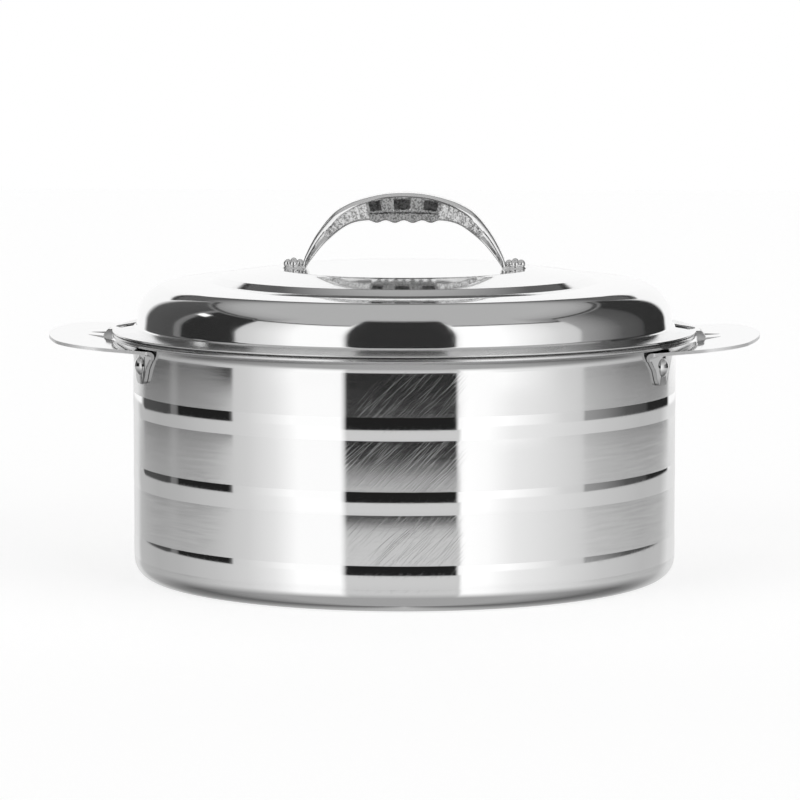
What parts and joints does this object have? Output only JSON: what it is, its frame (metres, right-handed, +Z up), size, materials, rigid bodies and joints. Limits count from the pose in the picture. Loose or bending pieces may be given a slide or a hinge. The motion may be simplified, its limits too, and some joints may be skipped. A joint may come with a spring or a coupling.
{
  "type": "insulated chapati casserole",
  "caption": "Round insulated steel serving pot with polished bands, riveted side handles and a loose domed lid with a cast arch handle.",
  "frame": {"origin": "middle of the base on the table", "axes": "+Z up, +X towards the right side handle, +Y towards the back"},
  "size_m": [0.3272, 0.269, 0.1767],
  "materials": {
    "body_steel": "finely brushed panels between mirror-polished bands",
    "bowl_steel": "satin inside, polished rim",
    "handle_steel": "polished pressed plate",
    "lid_steel": "mirror-polished",
    "cast_chrome": "polished casting with a stippled grip band",
    "rivet_steel": "polished",
    "foam": "rigid poured foam",
    "plug_plastic": "matt moulded"
  },
  "bodies": {
    "pot": {"outer_shell": "body_steel", "inner_bowl": "bowl_steel", "body_foam": "foam", "base_plug": "plug_plastic", "side_handle_left": "handle_steel", "side_handle_right": "handle_steel", "side_rivets_left": "rivet_steel", "side_rivets_right": "rivet_steel", "side_washers_left": "rivet_steel", "side_washers_right": "rivet_steel"},
    "lid": {"lid_shell": "lid_steel", "lid_liner": "bowl_steel", "lid_foam": "foam", "lid_plug": "plug_plastic", "lid_handle": "cast_chrome", "lid_rivets": "rivet_steel", "lid_washers": "rivet_steel"}
  },
  "joints": [
    {"name": "lid_lift", "type": "slide", "parent": "pot", "child": "lid", "axis": [0, 0, 1], "range_m": [0, 0.15]}
  ]
}
